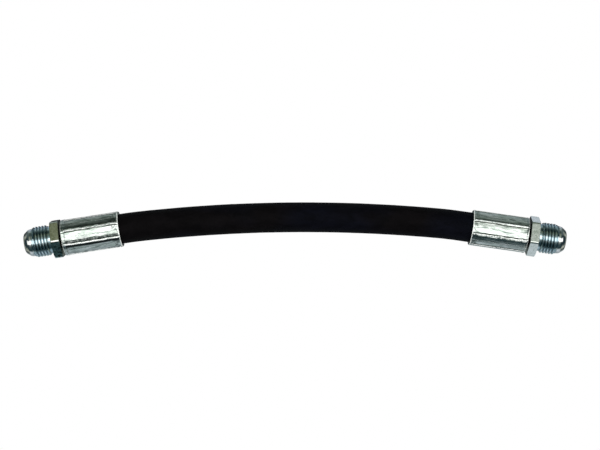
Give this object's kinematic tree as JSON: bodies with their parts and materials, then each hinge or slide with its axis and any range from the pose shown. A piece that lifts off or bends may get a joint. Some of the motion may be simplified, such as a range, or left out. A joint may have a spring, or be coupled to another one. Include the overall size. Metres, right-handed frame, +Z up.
{
  "type": "hydraulic hose assembly",
  "caption": "Flexible one-wire-braid rubber hydraulic hose with a crimped ferrule and a male 37 degree flare threaded fitting with a hexagon at each end.",
  "frame": {"origin": "middle of the assembly's bounding box, on the plane of the fitting axes", "axes": "+X from the left fitting's tip to the right fitting's tip, +Y towards the outside of the hose's bow, +Z up, perpendicular to the plane the hose lies in"},
  "size_m": [0.2548, 0.0263, 0.0194],
  "materials": {
    "zinc_plated_stem": "bright zinc plate with a faint yellow and blue passivation tint, turned",
    "zinc_plated_ferrule": "bright zinc plate, swaged in eight flats",
    "rubber_cover": "black synthetic rubber with a fine wrapped-cloth texture, satin",
    "rubber_tube": "smooth black oil-resistant rubber",
    "braid_wire": "high-tensile steel wire, thin brass coat"
  },
  "bodies": {
    "left_end": {"left_stem": "zinc_plated_stem", "left_ferrule": "zinc_plated_ferrule", "cover_01": "rubber_cover", "wire_braid_01": "braid_wire", "inner_tube_01": "rubber_tube"},
    "hose_link_02": {"cover_02": "rubber_cover", "wire_braid_02": "braid_wire", "inner_tube_02": "rubber_tube"},
    "hose_link_03": {"cover_03": "rubber_cover", "wire_braid_03": "braid_wire", "inner_tube_03": "rubber_tube"},
    "hose_link_04": {"cover_04": "rubber_cover", "wire_braid_04": "braid_wire", "inner_tube_04": "rubber_tube"},
    "hose_link_05": {"cover_05": "rubber_cover", "wire_braid_05": "braid_wire", "inner_tube_05": "rubber_tube"},
    "hose_link_06": {"cover_06": "rubber_cover", "wire_braid_06": "braid_wire", "inner_tube_06": "rubber_tube"},
    "hose_link_07": {"cover_07": "rubber_cover", "wire_braid_07": "braid_wire", "inner_tube_07": "rubber_tube"},
    "hose_link_08": {"cover_08": "rubber_cover", "wire_braid_08": "braid_wire", "inner_tube_08": "rubber_tube"},
    "hose_link_09": {"cover_09": "rubber_cover", "wire_braid_09": "braid_wire", "inner_tube_09": "rubber_tube"},
    "hose_link_10": {"cover_10": "rubber_cover", "wire_braid_10": "braid_wire", "inner_tube_10": "rubber_tube"},
    "hose_link_11": {"cover_11": "rubber_cover", "wire_braid_11": "braid_wire", "inner_tube_11": "rubber_tube"},
    "hose_link_12": {"cover_12": "rubber_cover", "wire_braid_12": "braid_wire", "inner_tube_12": "rubber_tube"},
    "hose_link_13": {"cover_13": "rubber_cover", "wire_braid_13": "braid_wire", "inner_tube_13": "rubber_tube"},
    "hose_link_14": {"cover_14": "rubber_cover", "wire_braid_14": "braid_wire", "inner_tube_14": "rubber_tube"},
    "hose_link_15": {"cover_15": "rubber_cover", "wire_braid_15": "braid_wire", "inner_tube_15": "rubber_tube"},
    "hose_link_16": {"cover_16": "rubber_cover", "wire_braid_16": "braid_wire", "inner_tube_16": "rubber_tube"},
    "right_end": {"right_stem": "zinc_plated_stem", "right_ferrule": "zinc_plated_ferrule", "cover_17": "rubber_cover", "wire_braid_17": "braid_wire", "inner_tube_17": "rubber_tube"}
  },
  "joints": [
    {"name": "left_bend_1", "type": "hinge", "parent": "left_end", "child": "hose_link_02", "pos_m": [-0.07588, 0.002, 0], "axis": [0.0006, 0.0008, 1], "range_deg": [-6.24, 10.5], "stiffness_Nm_per_rad": 1},
    {"name": "left_lift_1", "type": "hinge", "parent": "hose_link_02", "child": "hose_link_03", "pos_m": [-0.06606, 0.00299, 0], "axis": [0.0941, -0.9956, 0], "range_deg": [-8.37, 8.37], "stiffness_Nm_per_rad": 1},
    {"name": "left_bend_2", "type": "hinge", "parent": "hose_link_03", "child": "hose_link_04", "pos_m": [-0.05623, 0.00385, 0], "axis": [0.0006, 0.0008, 1], "range_deg": [-6.24, 10.5], "stiffness_Nm_per_rad": 1},
    {"name": "left_lift_2", "type": "hinge", "parent": "hose_link_04", "child": "hose_link_05", "pos_m": [-0.04638, 0.00458, 0], "axis": [0.0663, -0.9978, 0], "range_deg": [-8.37, 8.37], "stiffness_Nm_per_rad": 1},
    {"name": "left_bend_3", "type": "hinge", "parent": "hose_link_05", "child": "hose_link_06", "pos_m": [-0.03653, 0.00516, 0], "axis": [0.0006, 0.0008, 1], "range_deg": [-6.24, 10.5], "stiffness_Nm_per_rad": 1},
    {"name": "left_lift_3", "type": "hinge", "parent": "hose_link_06", "child": "hose_link_07", "pos_m": [-0.02667, 0.00561, 0], "axis": [0.0384, -0.9993, 0], "range_deg": [-8.37, 8.37], "stiffness_Nm_per_rad": 1},
    {"name": "left_bend_4", "type": "hinge", "parent": "hose_link_07", "child": "hose_link_08", "pos_m": [-0.0168, 0.00592, 0], "axis": [0.0006, 0.0008, 1], "range_deg": [-6.24, 10.5], "stiffness_Nm_per_rad": 1},
    {"name": "left_lift_4", "type": "hinge", "parent": "hose_link_08", "child": "hose_link_09", "pos_m": [-0.00693, 0.00609, 0], "axis": [0.0105, -0.9999, 0], "range_deg": [-8.37, 8.37], "stiffness_Nm_per_rad": 1},
    {"name": "right_bend_1", "type": "hinge", "parent": "hose_link_09", "child": "hose_link_10", "pos_m": [0.00294, 0.00613, 0], "axis": [0.0006, 0.0008, 1], "range_deg": [-6.24, 10.5], "stiffness_Nm_per_rad": 1},
    {"name": "right_lift_1", "type": "hinge", "parent": "hose_link_10", "child": "hose_link_11", "pos_m": [0.01281, 0.00602, 0], "axis": [-0.0174, -0.9998, 0], "range_deg": [-8.37, 8.37], "stiffness_Nm_per_rad": 1},
    {"name": "right_bend_2", "type": "hinge", "parent": "hose_link_11", "child": "hose_link_12", "pos_m": [0.02268, 0.00578, 0], "axis": [0.0006, 0.0008, 1], "range_deg": [-6.24, 10.5], "stiffness_Nm_per_rad": 1},
    {"name": "right_lift_2", "type": "hinge", "parent": "hose_link_12", "child": "hose_link_13", "pos_m": [0.03255, 0.00541, 0], "axis": [-0.0453, -0.999, 0], "range_deg": [-8.37, 8.37], "stiffness_Nm_per_rad": 1},
    {"name": "right_bend_3", "type": "hinge", "parent": "hose_link_13", "child": "hose_link_14", "pos_m": [0.04241, 0.00489, 0], "axis": [0.0006, 0.0008, 1], "range_deg": [-6.24, 10.5], "stiffness_Nm_per_rad": 1},
    {"name": "right_lift_3", "type": "hinge", "parent": "hose_link_14", "child": "hose_link_15", "pos_m": [0.05226, 0.00424, 0], "axis": [-0.0732, -0.9973, 0], "range_deg": [-8.37, 8.37], "stiffness_Nm_per_rad": 1},
    {"name": "right_bend_4", "type": "hinge", "parent": "hose_link_15", "child": "hose_link_16", "pos_m": [0.0621, 0.00344, 0], "axis": [0.0006, 0.0008, 1], "range_deg": [-6.24, 10.5], "stiffness_Nm_per_rad": 1},
    {"name": "right_lift_4", "type": "hinge", "parent": "hose_link_16", "child": "right_end", "pos_m": [0.07192, 0.00252, 0], "axis": [-0.1208, -0.9927, 0], "range_deg": [-8.37, 8.37], "stiffness_Nm_per_rad": 1}
  ],
  "couplings": [
    {"joint": "left_bend_2", "follows": "left_bend_1", "ratio": 1},
    {"joint": "left_lift_2", "follows": "left_lift_1", "ratio": 1},
    {"joint": "left_bend_3", "follows": "left_bend_1", "ratio": 1},
    {"joint": "left_lift_3", "follows": "left_lift_1", "ratio": 1},
    {"joint": "left_bend_4", "follows": "left_bend_1", "ratio": 1},
    {"joint": "left_lift_4", "follows": "left_lift_1", "ratio": 1},
    {"joint": "right_bend_2", "follows": "right_bend_1", "ratio": 1},
    {"joint": "right_lift_2", "follows": "right_lift_1", "ratio": 1},
    {"joint": "right_bend_3", "follows": "right_bend_1", "ratio": 1},
    {"joint": "right_lift_3", "follows": "right_lift_1", "ratio": 1},
    {"joint": "right_bend_4", "follows": "right_bend_1", "ratio": 1},
    {"joint": "right_lift_4", "follows": "right_lift_1", "ratio": 1}
  ]
}
